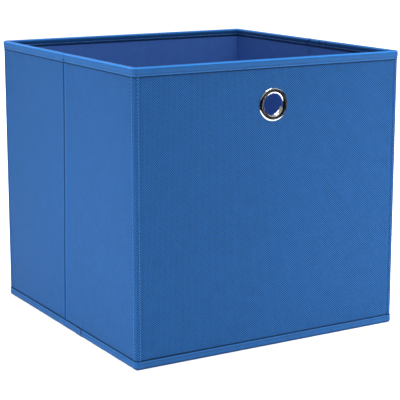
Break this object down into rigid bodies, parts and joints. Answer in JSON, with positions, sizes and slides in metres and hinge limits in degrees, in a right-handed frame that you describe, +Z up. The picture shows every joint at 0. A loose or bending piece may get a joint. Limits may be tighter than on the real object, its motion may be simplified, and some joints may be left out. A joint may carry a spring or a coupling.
{
  "type": "fabric storage bin",
  "caption": "Open-topped foldable storage cube of cardboard-stiffened non-woven fabric, with a metal finger eyelet in the front wall, bound edges and side walls that fold in.",
  "frame": {"origin": "middle of the footprint, on the surface that the bin stands on", "axes": "+Z up; the front wall with the eyelet faces -Y; +X to the right seen from the front"},
  "size_m": [0.281, 0.2817, 0.265],
  "materials": {
    "outer_fabric": "blue non-woven polypropylene, fine embossed dots",
    "lining_fabric": "blue non-woven polypropylene, matte",
    "binding_tape": "blue non-woven tape, stitched",
    "cardboard": "grey-brown stiffener board",
    "eyelet_metal": "bright chromed steel"
  },
  "bodies": {
    "back_wall": {"back_outer_fabric": "outer_fabric", "back_board": "cardboard", "back_lining": "lining_fabric", "back_rim_binding": "binding_tape", "back_base_binding": "binding_tape", "corner_seam_back_left": "outer_fabric", "corner_seam_back_right": "outer_fabric", "floor_fabric": "lining_fabric"},
    "left_rear_panel": {"left_rear_outer_fabric": "outer_fabric", "left_rear_board": "cardboard", "left_rear_lining": "lining_fabric", "left_rear_rim_binding": "binding_tape", "left_rear_base_binding": "binding_tape"},
    "left_front_panel": {"left_front_outer_fabric": "outer_fabric", "left_front_board": "cardboard", "left_front_lining": "lining_fabric", "left_front_rim_binding": "binding_tape", "left_front_base_binding": "binding_tape"},
    "front_wall": {"front_outer_fabric": "outer_fabric", "front_board": "cardboard", "front_lining": "lining_fabric", "front_rim_binding": "binding_tape", "front_base_binding": "binding_tape", "corner_seam_front_left": "outer_fabric", "corner_seam_front_right": "outer_fabric", "eyelet_ring": "eyelet_metal", "eyelet_washer": "eyelet_metal"},
    "right_front_panel": {"right_front_outer_fabric": "outer_fabric", "right_front_board": "cardboard", "right_front_lining": "lining_fabric", "right_front_rim_binding": "binding_tape", "right_front_base_binding": "binding_tape"},
    "right_rear_panel": {"right_rear_outer_fabric": "outer_fabric", "right_rear_board": "cardboard", "right_rear_lining": "lining_fabric", "right_rear_rim_binding": "binding_tape", "right_rear_base_binding": "binding_tape"},
    "base_insert": {"base_sleeve": "lining_fabric", "base_board": "cardboard"}
  },
  "joints": [
    {"name": "rear_left_corner_fold", "type": "hinge", "parent": "back_wall", "child": "left_rear_panel", "pos_m": [-0.1364, 0.1335, 0], "axis": [0, 0, 1], "range_deg": [0, 89.5], "deforming": ["floor_fabric", "base_sleeve", "base_board"]},
    {"name": "left_middle_fold", "type": "hinge", "parent": "left_rear_panel", "child": "left_front_panel", "pos_m": [-0.1408, 0, 0], "axis": [0, 0, 1], "range_deg": [-179, 0]},
    {"name": "front_left_corner_fold", "type": "hinge", "parent": "left_front_panel", "child": "front_wall", "pos_m": [-0.1364, -0.1335, 0], "axis": [0, 0, 1], "range_deg": [0, 89.5]},
    {"name": "front_right_corner_fold", "type": "hinge", "parent": "front_wall", "child": "right_front_panel", "pos_m": [0.1364, -0.1335, 0], "axis": [0, 0, 1], "range_deg": [0, 89.5]},
    {"name": "right_middle_fold", "type": "hinge", "parent": "right_front_panel", "child": "right_rear_panel", "pos_m": [0.1408, 0, 0], "axis": [0, 0, 1], "range_deg": [-179, 0]},
    {"name": "base_insert_lift", "type": "hinge", "parent": "back_wall", "child": "base_insert", "pos_m": [0, 0.1362, 0.0033], "axis": [-1, 0, 0], "range_deg": [0, 90]}
  ],
  "couplings": [
    {"joint": "left_middle_fold", "follows": "rear_left_corner_fold", "ratio": -2},
    {"joint": "front_left_corner_fold", "follows": "rear_left_corner_fold", "ratio": 1},
    {"joint": "front_right_corner_fold", "follows": "rear_left_corner_fold", "ratio": 1},
    {"joint": "right_middle_fold", "follows": "rear_left_corner_fold", "ratio": -2},
    {"joint": "base_insert_lift", "follows": "rear_left_corner_fold", "ratio": 1.0055}
  ]
}
